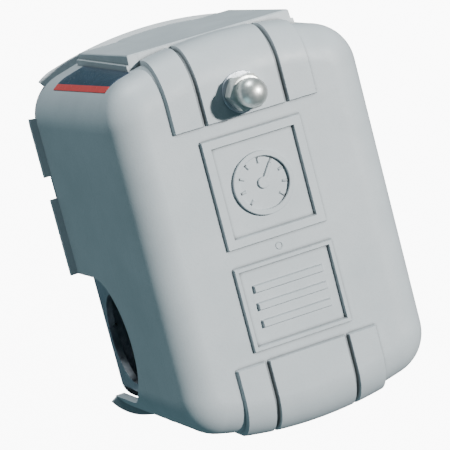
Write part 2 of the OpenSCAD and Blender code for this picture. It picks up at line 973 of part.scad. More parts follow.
module fixed_contacts() {
    color(brass)
        difference() {
            union() {
                for (t = terminals)
                    fixed_contact(t * terminal_pitch);
            }
            for (t = terminals)
                post(t * terminal_pitch, terminal_y, block_top - over,
                     terminal_screw_r + running, tab_t + 2 * over);
        }
}

module terminal_clamps() {
    color(zinc)
        for (t = terminals)
            difference() {
                block([t * terminal_pitch - clamp_half, terminal_y - clamp_half,
                       block_top + tab_t],
                      [t * terminal_pitch + clamp_half, terminal_y + clamp_half,
                       block_top + tab_t + clamp_t]);
                post(t * terminal_pitch, terminal_y, block_top, terminal_screw_r + running,
                     tab_t + clamp_t + over);
            }
}

module terminal_screws() {
    color(brass)
        for (t = terminals)
            round_screw(t * terminal_pitch, terminal_y, block_top + tab_t + clamp_t,
                        terminal_screw_head[0], terminal_screw_head[1], terminal_screw_r,
                        tab_t + clamp_t + terminal_screw_l);
}

module contact_carrier() {
    color(black)
        difference() {
            union() {
                cross_bar(carrier_y, carrier_z, carrier_hub_r, 2 * carrier_x);
                block([-carrier_x, contact_y - 3.5, carrier_z - carrier_t / 2],
                      [carrier_x, carrier_y, carrier_top]);
            }
            cross_bar(carrier_y, carrier_z, carrier_pin_d / 2 + running, 3 * carrier_x);
        }
}

module carrier_pin() {
    color(silver)
        cross_bar(carrier_y, carrier_z, carrier_pin_d / 2, 2 * shelf_x + 1.2);
}

module contact_bridges() {
    half = terminal_pitch / 2 + button_r + 0.8;
    color(brass)
        for (pole = poles) {
            x = pole * terminal_pitch;
            block([x - half, contact_y - 2.4, bridge_z], [x + half, contact_y + 2.4,
                                                          bridge_z + bridge_t]);
            for (end = [-1, 1])
                post(x + end * terminal_pitch / 2, contact_y, bridge_z, button_r,
                     bridge_t + moving_button_h);
        }
}

module bridge_springs() {
    color(silver)
        for (pole = poles)
            coil_stack(pole * terminal_pitch, contact_y, carrier_top, 2.2, 0.5,
                       bridge_spring_l, 3);
}

module toggle_spring() {
    color(silver)
        coil_stack(0, carrier_y, lever_top, 2.5, 0.6,
                   carrier_z - carrier_hub_r - lever_top - 0.6, 8);
}

module ground_screws() {
    color("darkgreen")
        for (side = [-1, 1]) {
            x = side * ground_x;
            post(x, ground_y, floor_z, ground_washer[0], ground_washer[1]);
            hex_prism(x, ground_y, floor_z + ground_washer[1], ground_af, ground_head_h);
            post(x, ground_y, base_z - over, ground_shank_r, sheet + 2 * over);
        }
}

cover();
cover_nut();
cover_washer();
corner_label();
base_plate();
port_fitting();
pressure_flange();
diaphragm();
piston_guide();
flange_screws();
piston();
lever();
lever_pin();
pin_clips();
range_stud();
stud_nut();
range_spring();
range_seat();
range_nut();
diff_stud();
diff_spring();
diff_seat();
diff_nut();
contact_bracket();
bracket_rivets();
contact_block();
block_screws();
fixed_contacts();
terminal_clamps();
terminal_screws();
contact_carrier();
carrier_pin();
contact_bridges();
bridge_springs();
toggle_spring();
ground_screws();
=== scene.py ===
import json
import math

import bmesh
import bpy
from mathutils import Matrix, Vector


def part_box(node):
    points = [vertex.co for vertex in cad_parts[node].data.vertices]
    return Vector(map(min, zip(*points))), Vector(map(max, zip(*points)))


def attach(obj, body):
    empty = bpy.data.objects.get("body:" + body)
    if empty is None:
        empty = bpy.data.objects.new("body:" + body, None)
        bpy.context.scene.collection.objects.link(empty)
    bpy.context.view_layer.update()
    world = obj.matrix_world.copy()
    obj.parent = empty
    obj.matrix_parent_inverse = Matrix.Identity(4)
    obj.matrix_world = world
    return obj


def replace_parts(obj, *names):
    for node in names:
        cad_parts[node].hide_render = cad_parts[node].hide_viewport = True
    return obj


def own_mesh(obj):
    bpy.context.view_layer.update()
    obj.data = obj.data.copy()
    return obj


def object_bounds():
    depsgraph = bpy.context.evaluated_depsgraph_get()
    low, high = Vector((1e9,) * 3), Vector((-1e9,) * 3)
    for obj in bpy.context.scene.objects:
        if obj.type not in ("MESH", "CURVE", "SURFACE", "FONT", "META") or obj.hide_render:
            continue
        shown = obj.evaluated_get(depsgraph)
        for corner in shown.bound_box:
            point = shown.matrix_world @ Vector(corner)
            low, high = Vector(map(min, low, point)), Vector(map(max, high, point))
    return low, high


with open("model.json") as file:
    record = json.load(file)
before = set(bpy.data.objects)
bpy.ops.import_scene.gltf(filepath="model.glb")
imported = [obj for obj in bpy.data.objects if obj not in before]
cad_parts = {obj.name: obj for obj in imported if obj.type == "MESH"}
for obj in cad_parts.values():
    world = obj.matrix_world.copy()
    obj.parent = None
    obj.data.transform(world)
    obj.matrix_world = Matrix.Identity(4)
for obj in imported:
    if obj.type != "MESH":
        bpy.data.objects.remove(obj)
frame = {"nodes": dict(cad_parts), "record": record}
CAD_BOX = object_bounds()

MM = 0.001    # metres in a millimetre
NODES = frame["nodes"]
SLOT_OF = {part["node"]: part["material_slot"] for part in frame["record"]["subparts"]}
BODY_OF = {
    node: body
    for body, names in frame["record"]["behaviour"]["bodies"].items()
    for node in names
}


def node_box(node):
    """A node's lowest and highest corners at rest, in millimetres."""
    low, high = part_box(node)
    return Vector(low) / MM, Vector(high) / MM


# ---------------------------------------------------------------- camera

VIEW_AZIMUTH = -119.80
VIEW_ELEVATION = 70.36
VIEW_ROLL = 103.65
VIEW_DISTANCE = 0.5619
VIEW_TARGET = Vector((-0.00232, -0.00709, 0.052))
VIEW_LENS = 194.0
VIEW_SENSOR = 36.0
VIEW_NEAR = 0.01
VIEW_FAR = 20.0


def make_camera():
    """The camera stands off the front face, to the left of it, and is rolled with the object."""
    azimuth = math.radians(VIEW_AZIMUTH)
    elevation = math.radians(VIEW_ELEVATION)
    back = Vector((
        math.sin(azimuth) * math.cos(elevation),
        -math.cos(azimuth) * math.cos(elevation),
        math.sin(elevation),
    ))
    data = bpy.data.cameras.new("camera")
    data.lens = VIEW_LENS
    data.sensor_width = VIEW_SENSOR
    data.clip_start = VIEW_NEAR
    data.clip_end = VIEW_FAR
    data.dof.use_dof = False
    camera = bpy.data.objects.new("camera", data)
    bpy.context.collection.objects.link(camera)
    camera.location = VIEW_TARGET + back * VIEW_DISTANCE
    look = (-back).to_track_quat("-Z", "Y").to_matrix().to_4x4()
    roll = Matrix.Rotation(math.radians(VIEW_ROLL), 4, "Z")
    camera.matrix_world = Matrix.Translation(camera.location) @ look @ roll
    bpy.context.scene.camera = camera


make_camera()

# ---------------------------------------------------------------- materials


class Nodes:
    """A short way to build one procedural material on the Principled shader."""

    def __init__(self, name):
        self.material = bpy.data.materials.new(name)
        self.material.use_nodes = True
        self.tree = self.material.node_tree
        self.shader = self.tree.nodes["Principled BSDF"]
        self.coords = self.add("ShaderNodeTexCoord").outputs["Object"]

    def add(self, kind, **values):
        """Adds one shader node with some of its properties set."""
        node = self.tree.nodes.new(kind)
        for key, value in values.items():
            setattr(node, key, value)
        return node

    def link(self, source, target):
        self.tree.links.new(source, target)

    def set(self, **values):
        """Sets uniform values straight on the shader's own sockets."""
        for key, value in values.items():
            self.shader.inputs[key.replace("_", " ")].default_value = value

    def stretched(self, scale):
        """Object coordinates scaled by a different factor along each axis."""
        mapping = self.add("ShaderNodeMapping")
        mapping.inputs["Scale"].default_value = scale
        self.link(self.coords, mapping.inputs["Vector"])
        return mapping.outputs["Vector"]

    def noise(self, size_mm, detail=3.0, roughness=0.55, stretch=None):
        """Noise whose main features are about size_mm across."""
        node = self.add("ShaderNodeTexNoise")
        node.inputs["Scale"].default_value = 1.0 / (size_mm * MM)
        node.inputs["Detail"].default_value = detail
        node.inputs["Roughness"].default_value = roughness
        source = self.stretched(stretch) if stretch else self.coords
        self.link(source, node.inputs["Vector"])
        return node.outputs["Fac"]

    def cells(self, size_mm):
        """Distance to the nearest of many scattered points, about size_mm apart."""
        node = self.add("ShaderNodeTexVoronoi")
        node.inputs["Scale"].default_value = 1.0 / (size_mm * MM)
        self.link(self.coords, node.inputs["Vector"])
        return node.outputs["Distance"]

    def openness(self, reach_mm):
        """How open the surface is to its surroundings: low in a crevice, 1 out in the open."""
        node = self.add("ShaderNodeAmbientOcclusion", samples=8, only_local=True)
        node.inputs["Distance"].default_value = reach_mm * MM
        return node.outputs["AO"]

    def span(self, source, low=0.0, high=1.0, from_low=0.3, from_high=0.7):
        """Maps a texture's useful range onto low to high."""
        node = self.add("ShaderNodeMapRange")
        node.inputs["From Min"].default_value = from_low
        node.inputs["From Max"].default_value = from_high
        node.inputs["To Min"].default_value = low
        node.inputs["To Max"].default_value = high
        self.link(source, node.inputs["Value"])
        return node.outputs["Result"]

    def blend(self, factor, first, second):
        """Mixes two colours by a factor; each is a colour or a socket."""
        node = self.add("ShaderNodeMix", data_type="RGBA")
        self.link(factor, node.inputs["Factor"])
        for value, socket in ((first, node.inputs["A"]), (second, node.inputs["B"])):
            target = [s for s in node.inputs if s.name == socket.name and s.type == "RGBA"][0]
            if isinstance(value, tuple):
                target.default_value = (*value, 1.0)
            else:
                self.link(value, target)
        return [s for s in node.outputs if s.type == "RGBA"][0]

    def colour(self, source):
        """Drives the surface's colour."""
        self.link(source, self.shader.inputs["Base Color"])

    def rough(self, source):
        """Drives the surface's roughness."""
        self.link(source, self.shader.inputs["Roughness"])

    def bump(self, layers):
        """Stacks bump layers, each a (height socket, depth in mm, strength)."""
        normal = None
        for height, depth_mm, strength in layers:
            node = self.add("ShaderNodeBump")
            node.inputs["Strength"].default_value = strength
            node.inputs["Distance"].default_value = depth_mm * MM
            self.link(height, node.inputs["Height"])
            if normal is not None:
                self.link(normal, node.inputs["Normal"])
            normal = node.outputs["Normal"]
        self.link(normal, self.shader.inputs["Normal"])


# Painted shade: the plastic's colour darkens to three tenths of its dark tone in crevices and at
# the feet of steps, following ambient occlusion. The speck share darkens the grain's specks.
CREVICE_REACH_MM = 1.1
PAINTED_CREVICE_SHADE = 0.3
SPECK_SHADE = 0.72


def shaded(colour, share):
    """A darker version of a colour."""
    return tuple(channel * share for channel in colour)


def moulded_plastic(name, light, dark):
    """Satin moulded plastic: eroded grain, flow marks, rubbed patches, and painted shade in its
    crevices.
    """
    m = Nodes(name)
    flow = m.noise(14.0, detail=4.0, roughness=0.6)
    grain = m.noise(0.35, detail=2.0, roughness=0.6)
    rubbed = m.noise(5.0, detail=5.0, roughness=0.65)
    speck = m.span(grain, low=0.0, high=0.28, from_low=0.52, from_high=0.78)
    # Painted shade mask: 0 in crevices, where the colour is painted dark, and 1 out in the open.
    painted_crevice_mask = m.span(m.openness(CREVICE_REACH_MM), from_low=0.5, from_high=0.9)
    tint = m.blend(m.span(flow), dark, light)
    specked = m.blend(speck, tint, shaded(dark, SPECK_SHADE))
    m.colour(m.blend(painted_crevice_mask, shaded(dark, PAINTED_CREVICE_SHADE), specked))
    m.rough(m.span(rubbed, low=0.42, high=0.58))
    m.set(Specular_IOR_Level=0.45)
    m.bump([
        (grain, 0.035, 0.55),
        (m.noise(1.6), 0.02, 0.35),
    ])
    return m.material


def plated_metal(name, light, dark, low, high):
    """Plated or plain metal: cloudy plating, fine scratches and a worn sheen."""
    m = Nodes(name)
    cloud = m.noise(6.0, detail=5.0, roughness=0.62)
    worn = m.noise(2.2, detail=5.0, roughness=0.7)
    scratches = m.noise(0.5, detail=3.0, roughness=0.7, stretch=(1.0, 9.0, 1.0))
    m.colour(m.blend(m.span(cloud), dark, light))
    m.rough(m.span(worn, low, high))
    m.set(Metallic=1.0)
    m.bump([
        (scratches, 0.006, 0.45),
        (m.noise(3.0, detail=4.0), 0.02, 0.25),
    ])
    return m.material


def turned_metal(name, light, dark):
    """Turned or cast zinc with soft cloudiness and small pits."""
    m = Nodes(name)
    cloud = m.noise(2.4, detail=5.0, roughness=0.6)
    worn = m.noise(0.9, detail=4.0, roughness=0.7)
    pits = m.span(m.cells(0.55), from_low=0.0, from_high=0.25)
    m.colour(m.blend(m.span(cloud), dark, light))
    m.rough(m.span(worn, low=0.32, high=0.48))
    m.set(Metallic=0.85)
    m.bump([
        (m.noise(0.8), 0.02, 0.35),
        (pits, 0.01, 0.3),
    ])
    return m.material


def moulded_phenolic(name, light, dark, fleck):
    """Dark phenolic with mineral flecks."""
    m = Nodes(name)
    flecked = m.span(m.cells(0.9), low=1.0, high=0.0, from_low=0.05, from_high=0.22)
    m.colour(m.blend(flecked, m.blend(m.span(m.noise(8.0)), dark, light), fleck))
    m.rough(m.span(m.noise(2.0, detail=4.0), low=0.28, high=0.45))
    m.bump([(m.noise(0.6), 0.02, 0.4)])
    return m.material


def soft_rubber(name, light, dark):
    """Matt rubber with a fine skin."""
    m = Nodes(name)
    m.colour(m.blend(m.span(m.noise(4.0)), dark, light))
    m.rough(m.span(m.noise(1.0, detail=4.0), low=0.55, high=0.8))
    m.bump([(m.noise(0.25, detail=2.0), 0.02, 0.4)])
    return m.material


def glossy_painted_film(name, light, dark):
    """Glossy film with fine scuffs, whose colour is painted reflection and shade."""
    m = Nodes(name)
    m.colour(m.blend(m.span(m.noise(3.0, detail=4.0)), dark, light))
    m.rough(m.span(m.noise(0.8, detail=5.0, roughness=0.7), low=0.12, high=0.3))
    m.set(Coat_Weight=0.5, Coat_Roughness=0.12)
    m.bump([(m.noise(2.0), 0.02, 0.2)])
    return m.material


METALS = {    # light colour, dark colour, lowest and highest roughness
    "zinc_plate": ((0.62, 0.65, 0.70), (0.45, 0.48, 0.54), 0.25, 0.45),
    "dark_steel": ((0.30, 0.31, 0.33), (0.16, 0.165, 0.18), 0.25, 0.45),
    "bright_steel": ((0.72, 0.73, 0.75), (0.58, 0.59, 0.61), 0.12, 0.25),
    "spring_steel": ((0.55, 0.56, 0.58), (0.36, 0.37, 0.39), 0.2, 0.4),
    "brass": ((0.74, 0.55, 0.25), (0.52, 0.36, 0.15), 0.2, 0.42),
    "green_zinc": ((0.06, 0.30, 0.13), (0.03, 0.18, 0.08), 0.3, 0.5),
}
MATERIALS = {name: plated_metal(name, *values) for name, values in METALS.items()}
MATERIALS["cover_plastic"] = moulded_plastic(
    "cover_plastic", light=(0.405, 0.448, 0.472), dark=(0.36, 0.402, 0.425)
)
MATERIALS["cap_zinc"] = turned_metal("cap_zinc", light=(0.80, 0.79, 0.77), dark=(0.52, 0.55, 0.52))
# Painted reflection: this red stands in for a red thing seen reflected in the case's corner.
MATERIALS["label_film"] = glossy_painted_film(
    "label_film", light=(0.72, 0.05, 0.04), dark=(0.62, 0.042, 0.036)
)
MATERIALS["black_phenolic"] = moulded_phenolic(
    "black_phenolic", light=(0.022, 0.021, 0.021), dark=(0.012, 0.012, 0.013),
    fleck=(0.045, 0.042, 0.04)
)
MATERIALS["rubber"] = soft_rubber("rubber", light=(0.03, 0.03, 0.031), dark=(0.012, 0.012, 0.012))
# Painted shade and dark reflection: a dark field of film laid where the corner shows only shade
# and a dark reflection.
PAINTED_DARK_FIELD = glossy_painted_film("label_dark", light=(0.03, 0.05, 0.09), dark=(0.018, 0.03, 0.055))

for node_name, cad_object in NODES.items():
    for material_slot in cad_object.material_slots:
        material_slot.material = MATERIALS[SLOT_OF[node_name]]

# ---------------------------------------------------------------- mesh helpers

# Angles in degrees past which an edge is shaded as a sharp one. A copy's is also rounded.
SHELL_SHARP = 28.0
RIM_SHARP = 30.0
COPY_SHARP = 32.0
TURNED_SHARP = 40.0
WOUND_SHARP = 50.0

ON_AXIS = 1e-6           # millimetres
WELD_DISTANCE = 1e-6     # metres
FLAT_ANGLE = 0.8         # degrees
EDGE_SEGMENTS = 2
LATHE_SIDES = 96


def mesh_of(name, bm):
    """Turns a bmesh in millimetres into a mesh in metres, with its faces turned outward."""
    bmesh.ops.scale(bm, vec=(MM, MM, MM), verts=bm.verts)
    bmesh.ops.recalc_face_normals(bm, faces=bm.faces)
    mesh = bpy.data.meshes.new(name)
    bm.to_mesh(mesh)
    bm.free()
    return mesh


def finish_piece(name, mesh, node, sharp):
    """Gives a mesh its shading and its node's finish, and lets it ride the node's body."""
    mesh.polygons.foreach_set("use_smooth", [True] * len(mesh.polygons))
    mesh.set_sharp_from_angle(angle=math.radians(sharp))
    piece = bpy.data.objects.new(name, mesh)
    bpy.context.collection.objects.link(piece)
    if not any(mesh.materials):
        mesh.materials.clear()
        mesh.materials.append(MATERIALS[SLOT_OF[node]])
    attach(piece, BODY_OF[node])
    return piece


def piece_from(name, bm, node, sharp):
    """Turns a bmesh in millimetres into a piece that belongs to a node."""
    return finish_piece(name, mesh_of(name, bm), node, sharp)


def weigh_normals(piece, keep_sharp):
    """Lets the large faces set the shading, so that flat walls look flat."""
    normals = piece.modifiers.new("normals", "WEIGHTED_NORMAL")
    normals.keep_sharp = keep_sharp


def bridge_rings(bm, rings, close_rings=True):
    """Quads between neighbouring rings of vertices."""
    for lower, upper in zip(rings, rings[1:]):
        count = len(lower)
        for i in range(count if close_rings else count - 1):
            j = (i + 1) % count
            corners = [lower[i], lower[j], upper[j], upper[i]]
            unique = list(dict.fromkeys(corners))
            if len(unique) > 2:
                bm.faces.new(unique)


def ring_of(bm, points):
    """New vertices at a ring of points."""
    return [bm.verts.new(p) for p in points]


def cap_ends(bm, rings):
    """Closes both ends of a tube of rings."""
    bm.faces.new(rings[0])
    bm.faces.new(list(reversed(rings[-1])))


def lathe(bm, profile, centre, sides=LATHE_SIDES):
    """Turns a closed profile of (radius, height) points about an upright axis."""
    columns = []
    for i in range(sides):
        angle = 2 * math.pi * i / sides
        direction = Vector((math.cos(angle), math.sin(angle), 0))
        columns.append([centre + direction * r + Vector((0, 0, z)) for r, z in profile])
    rings = []
    for k, (radius, _) in enumerate(profile):
        if radius < ON_AXIS:
            rings.append([bm.verts.new(columns[0][k])] * sides)
        else:
            rings.append(ring_of(bm, [column[k] for column in columns]))
    if profile[0][0] >= ON_AXIS or profile[-1][0] >= ON_AXIS:
        rings.append(rings[0])
    bridge_rings(bm, rings)


def arc(cx, cz, r, start, end, steps):
    """Points of an arc in a profile, angles in degrees."""
    angles = [math.radians(start + (end - start) * i / steps) for i in range(steps + 1)]
    return [(cx + r * math.cos(a), cz + r * math.sin(a)) for a in angles]


def soften(node, width_mm):
    """Copies a CAD node's mesh and rounds its edges, as pressed and moulded parts are."""
    bm = bmesh.new()
    bm.from_mesh(NODES[node].data)
    bmesh.ops.remove_doubles(bm, verts=bm.verts, dist=WELD_DISTANCE)
    bmesh.ops.dissolve_limit(
        bm, angle_limit=math.radians(FLAT_ANGLE), verts=bm.verts, edges=bm.edges,
        use_dissolve_boundaries=False
    )
    mesh = bpy.data.meshes.new(node + "_fine")
    bm.to_mesh(mesh)
    bm.free()
    piece = finish_piece(node + "_fine", mesh, node, COPY_SHARP)
    bevel = piece.modifiers.new("edge", "BEVEL")
    bevel.width = width_mm * MM
    bevel.segments = EDGE_SEGMENTS
    bevel.limit_method = "ANGLE"
    bevel.angle_limit = math.radians(COPY_SHARP)
    bevel.harden_normals = False
    weigh_normals(piece, keep_sharp=False)
    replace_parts(piece, node)


# ---------------------------------------------------------------- cover

# The case: all lengths are in millimetres.
CASE_WALL = 2.0
DRAFT_W = 2.2
DRAFT_L = 1.0
FRONT_ROUND = 8.5
CORNER_R = 10.4
BOW_R = 90.0
RIM_LAND = 2.0
FLANGE_OUT = 1.7

# The three-panel bands over both ends, and the soft edges of their relief.
BAND_H = 1.1
BAND_HALF = 17.1
BAND_START = 27.1
BAND_RISE = 4.0
BAND_SIDE = 0.24
BAND_FRONT = 0.16
BAND_FOOT_EASE = 0.2
BAND_FOOT_LAND = 6.0
GROOVE_X = 9.8
GROOVE_HALF = 0.64
GROOVE_FLOOR = 0.2
GROOVE_LOW = 0.04

# The raised pad on the range-spring end wall.
PAD_HALF = 19.6
PAD_H = 1.3
PAD_DROP = 11.0
PAD_EDGE = 0.3
PAD_SIDE_EASE = 0.2
PAD_TOP_EASE = 0.25
PAD_SKIRT = 0.7
PAD_BREAK = 0.12
PAD_SKIRT_END = 0.8

# The two framed plaques: (lowest, highest) along Y, and the widths of their frames.
PLAQUE_HALF = 11.95
PLAQUE_H = 0.92
FRAME_STEP = 0.15
UPPER_PLAQUE = (-1.0, 23.8)
LOWER_PLAQUE = (-24.5, -5.3)
UPPER_FRAME = 2.1
LOWER_FRAME = 1.05

# Moulding lines round the walls, each point a (height, relief) pair.
PARTING_DROP = 25.5
PARTING_LINE = ((-0.2, 0.0), (0.0, 0.05), (0.2, 0.0))
RIDGE_DROP = 0.4
RIDGE = ((-0.35, 0.0), (0.0, 0.04), (0.35, 0.0))

# The steps of a soft edge: how far across it, and how high it has risen.
SOFT_STEP = ((-1.0, 0.0), (-0.72, 0.1), (0.72, 0.9), (1.0, 1.0))

CORNER_STEPS = 14
FILLET_STEPS = 14
ROUNDING = 4             # decimal places, so that equal grid lines are merged

cover_low, cover_high = node_box("cover")
FRONT_Z = cover_high.z - BAND_H
RIM_Z = cover_low.z
SHOULDER_Z = FRONT_Z - FRONT_ROUND
CASE_Y = (cover_low.y + cover_high.y) / 2
HALF_W = cover_high.x - FLANGE_OUT
HALF_L = (cover_high.y - cover_low.y) / 2 - FLANGE_OUT
BAND_FOOT = RIM_Z + BAND_RISE
PAD_TOP = FRONT_Z - PAD_DROP
PAD_FACE = HALF_L - DRAFT_L + PAD_H
PARTING_Z = FRONT_Z - PARTING_DROP

CORNER_T = [i / CORNER_STEPS for i in range(CORNER_STEPS + 1)]


def lean(z):
    """How much of the walls' draft has been taken up at a height, from 0 to 1."""
    return min(1.0, max(0.0, (z - RIM_Z) / (SHOULDER_Z - RIM_Z)))


def half_w(z):
    """Half the case's width at a height."""
    return HALF_W - DRAFT_W * lean(z)


def half_l(z):
    """Half the case's length at a height."""
    return HALF_L - DRAFT_L * lean(z)


def soft_step(value, edge, half):
    """0 below an edge, 1 above it, with a short sloped side and eased corners."""
    t = (value - edge) / half
    if t <= SOFT_STEP[0][0]:
        return 0.0
    for (t0, v0), (t1, v1) in zip(SOFT_STEP, SOFT_STEP[1:]):
        if t <= t1:
            return v0 + (v1 - v0) * (t - t0) / (t1 - t0)
    return 1.0


def step_lines(edge, half):
    """Grid lines that a soft step needs to be shown exactly."""
    return [edge + half * t for t, _ in SOFT_STEP]


def band_across(x):
    """Band height across its width, from 0 to 1, with its two grooves."""
    side = 1.0 - soft_step(abs(x), BAND_HALF, BAND_SIDE)
    away = abs(abs(x) - GROOVE_X)
    groove = min(1.0, max(GROOVE_LOW, (away - GROOVE_FLOOR) / (GROOVE_HALF - GROOVE_FLOOR)))
    return min(side, groove)


def band_along(y):
    """Band height along its length, from 0 to 1."""
    return soft_step(abs(y), BAND_START, BAND_FRONT)


def inside_rectangle(x, y, half_x, low_y, high_y, half):
    """1 inside a rectangle, 0 outside, with sloped sides."""
    return min(
        1.0 - soft_step(abs(x), half_x, half),
        soft_step(y, low_y, half),
        1.0 - soft_step(y, high_y, half),
    )


def plaque(x, y, ends, border):
    """1 on a plaque's raised frame, 0 inside and outside it."""
    outer = inside_rectangle(x, y, PLAQUE_HALF, ends[0], ends[1], FRAME_STEP)
    inner = inside_rectangle(
        x, y, PLAQUE_HALF - border, ends[0] + border, ends[1] - border, FRAME_STEP
    )
    return min(outer, 1.0 - inner)


def face_height(x, y):
    """Height of the moulded detail above the front face, in millimetres."""
    return max(
        BAND_H * min(band_across(x), band_along(y)),
        PLAQUE_H * plaque(x, y, UPPER_PLAQUE, UPPER_FRAME),
        PLAQUE_H * plaque(x, y, LOWER_PLAQUE, LOWER_FRAME),
    )


def plaque_lines(ends, border):
    """Grid lines along Y for one plaque's frame."""
    edges = (ends[0], ends[1], ends[0] + border, ends[1] - border)
    return [line for edge in edges for line in step_lines(edge, FRAME_STEP)]


def merged(lines):
    """Grid lines in order, each one once."""
    return sorted(set(round(line, ROUNDING) for line in lines))


SPARE_X = [0.0, 2.5, 5.0, 7.0, 14.0, 15.6, 18.4]
SPARE_Y = [-30.9, -29.2, -16.0, -12.0, 4.0, 8.0, 12.0, 16.0, 29.2, 30.9]
HALF_X = (
    SPARE_X
    + [GROOVE_X + t for t in (-GROOVE_HALF, -GROOVE_FLOOR, GROOVE_FLOOR, GROOVE_HALF)]
    + step_lines(BAND_HALF, BAND_SIDE)
    + step_lines(PLAQUE_HALF, FRAME_STEP)
    + step_lines(PLAQUE_HALF - UPPER_FRAME, FRAME_STEP)
    + step_lines(PLAQUE_HALF - LOWER_FRAME, FRAME_STEP)
    + [PAD_HALF + t for t in (-PAD_EDGE, 0.0, PAD_BREAK, PAD_SKIRT, PAD_SKIRT_END)]
)
BAND_Y = step_lines(BAND_START, BAND_FRONT)
GRID_X = merged(HALF_X + [-x for x in HALF_X])
GRID_Y = merged(
    SPARE_Y
    + BAND_Y
    + [-y for y in BAND_Y]
    + plaque_lines(UPPER_PLAQUE, UPPER_FRAME)
    + plaque_lines(LOWER_PLAQUE, LOWER_FRAME)
)


def outline_columns():
    """The columns of the closed outline, going round from the right side."""
    columns = [("side", 1, y) for y in GRID_Y]
    columns += [("corner", 1, 1, t) for t in CORNER_T]
    columns += [("bow", 1, x) for x in reversed(GRID_X)]
    columns += [("corner", -1, 1, t) for t in reversed(CORNER_T)]
    columns += [("side", -1, y) for y in reversed(GRID_Y)]
    columns += [("corner", -1, -1, t) for t in CORNER_T]
    columns += [("bow", -1, x) for x in GRID_X]
    columns += [("corner", 1, -1, t) for t in reversed(CORNER_T)]
    return columns


COLUMNS = outline_columns()


def outline_point(column, z, inset):
    """A column's point on the outline at height z, and its outward direction in plan."""
    a = half_w(z)
    b = half_l(z)
    cx = a - CORNER_R
    bow_y = b - BOW_R
    cy = bow_y + math.sqrt((BOW_R - CORNER_R) ** 2 - cx ** 2)
    turn = math.atan2(cy - bow_y, cx)
    if column[0] == "side":
        return Vector((column[1] * (a - inset), column[2])), Vector((column[1], 0.0))
    if column[0] == "corner":
        angle = turn * column[3]
        out = Vector((column[1] * math.cos(angle), column[2] * math.sin(angle)))
        centre = Vector((column[1] * cx, column[2] * cy))
        return centre + out * (CORNER_R - inset), out
    x = column[2]
    y = bow_y + math.sqrt((BOW_R - inset) ** 2 - x ** 2)
    out = Vector((x, y - bow_y)).normalized()
    return Vector((x, column[1] * y)), Vector((out.x, column[1] * out.y))


def wall_rows():
    """Heights of the rows up the walls, each with its small relief."""
    low_rows = [RIM_Z, RIM_Z + RIM_LAND]
    low_rows += [BAND_FOOT + t for t in (-BAND_FOOT_EASE, BAND_FOOT_EASE, BAND_FOOT_LAND)]
    pad_rows = [PAD_TOP + t for t in (-PAD_EDGE, 0.0, PAD_BREAK)]
    rows = [(z, 0.0) for z in low_rows]
    rows += [(PARTING_Z + dz, relief) for dz, relief in PARTING_LINE]
    rows += [(z, 0.0) for z in pad_rows]
    rows += [(SHOULDER_Z + dz - RIDGE_DROP, relief) for dz, relief in RIDGE]
    return rows


def wall_point(column, z, relief):
    """A point on the outer wall, with the bands, the pad and the moulding lines."""
    plan, out = outline_point(column, z, 0.0)
    lift = relief
    if column[0] == "bow" and z > BAND_FOOT:
        lift = max(lift, BAND_H * band_across(column[2]))
    plan = plan + out * lift
    if column[0] == "bow" and column[1] > 0 and BAND_FOOT < z <= PAD_TOP:
        across = abs(column[2])
        face = PAD_FACE if z < PAD_TOP else PAD_FACE - PAD_TOP_EASE
        if across <= PAD_HALF - PAD_EDGE:
            plan.y = max(plan.y, face)
        elif across <= PAD_HALF:
            plan.y = max(plan.y, face - PAD_SIDE_EASE)
        elif across <= PAD_HALF + PAD_SKIRT:
            plan.y += PAD_H
    return Vector((plan.x, plan.y + CASE_Y, z))


def rounded_point(column, i):
    """A point on the rounded front edge; step 0 is the shoulder, the last is the face."""
    angle = math.pi / 2 * i / FILLET_STEPS
    inset = FRONT_ROUND * (1 - math.cos(angle))
    plan, out = outline_point(column, SHOULDER_Z, inset)
    lift = 0.0
    if column[0] == "bow":
        lift = BAND_H * band_across(column[2])
    plan = plan + out * lift * math.cos(angle)
    z = SHOULDER_Z + FRONT_ROUND * math.sin(angle) + lift * math.sin(angle)
    return Vector((plan.x, plan.y + CASE_Y, z))


def front_face(bm, edge_ring):
    """Fills the flat front inside the rounded edge with the grid of moulded detail."""
    at = dict(zip(COLUMNS, edge_ring))
    grid = {}
    for x in GRID_X:
        for y in GRID_Y:
            grid[x, y] = bm.verts.new((x, y + CASE_Y, FRONT_Z + face_height(x, y)))
        grid[x, "low"] = at["bow", -1, x]
        grid[x, "high"] = at["bow", 1, x]
    rows = ["low"] + GRID_Y + ["high"]
    for x0, x1 in zip(GRID_X, GRID_X[1:]):
        for y0, y1 in zip(rows, rows[1:]):
            bm.faces.new([grid[x0, y0], grid[x1, y0], grid[x1, y1], grid[x0, y1]])
    for side, x in ((1, GRID_X[-1]), (-1, GRID_X[0])):
        for y0, y1 in zip(GRID_Y, GRID_Y[1:]):
            corners = [grid[x, y0], at["side", side, y0], at["side", side, y1], grid[x, y1]]
            bm.faces.new(corners)
        for end, y, row in ((1, GRID_Y[-1], "high"), (-1, GRID_Y[0], "low")):
            ring = [at["side", side, y]]
            ring += [at["corner", side, end, t] for t in CORNER_T]
            ring += [grid[x, row], grid[x, y]]
            bm.faces.new(ring)


def inner_ring(bm, z, inset):
    """One ring of the plain inner skin."""
    plans = [outline_point(column, z, inset + CASE_WALL)[0] for column in COLUMNS]
    return ring_of(bm, [(plan.x, plan.y + CASE_Y, z) for plan in plans])


